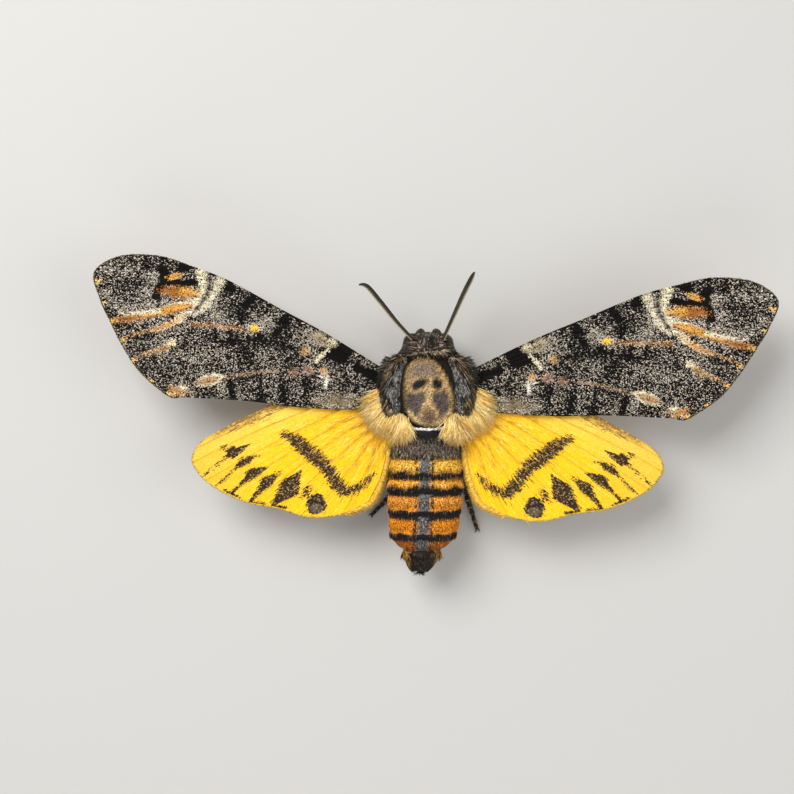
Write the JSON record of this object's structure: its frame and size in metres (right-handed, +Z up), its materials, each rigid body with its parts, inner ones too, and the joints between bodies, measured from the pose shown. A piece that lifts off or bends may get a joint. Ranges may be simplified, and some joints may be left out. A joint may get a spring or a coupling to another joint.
{
  "type": "hawkmoth specimen",
  "caption": "Life-size still model of a death's-head hawkmoth standing with its wings spread flat, for display.",
  "frame": {"origin": "centre of the overall box, at the height of the soles of the feet", "axes": "+X to the moth's right across the wingspan, +Y towards the head, +Z up from the floor it stands on"},
  "size_m": [0.1148, 0.055, 0.0164],
  "materials": {
    "thorax": "dense matte hair, dark brown to black with a pale skull-like patch",
    "collar": "matte brown-black hair",
    "abdomen": "matte scales in yellow-orange bands with black rings and a grey stripe",
    "head": "matte dark brown hair",
    "mouthparts": "matte brown scales",
    "eye": "glossy dark brown facets",
    "antenna": "matte olive-brown with a pale edge",
    "forewing": "matte scales, black with grey speckle and rust and cream marks",
    "hindwing": "matte scales, yellow with brown-black bands",
    "tegula": "matte blue-grey scales with black edges",
    "leg": "matte dark scales over a hard shell"
  },
  "bodies": {
    "root": {"thorax": "thorax", "collar": "collar", "abdomen": "abdomen", "head": "head", "proboscis": "mouthparts", "eye_left": "eye", "eye_right": "eye", "antenna_left": "antenna", "antenna_right": "antenna", "palp_left": "mouthparts", "palp_right": "mouthparts", "forewing_left": "forewing", "forewing_right": "forewing", "hindwing_left": "hindwing", "hindwing_right": "hindwing", "tegula_left": "tegula", "tegula_right": "tegula", "leg_fore_left": "leg", "leg_fore_right": "leg", "leg_mid_left": "leg", "leg_mid_right": "leg", "leg_hind_left": "leg", "leg_hind_right": "leg"}
  },
  "joints": []
}
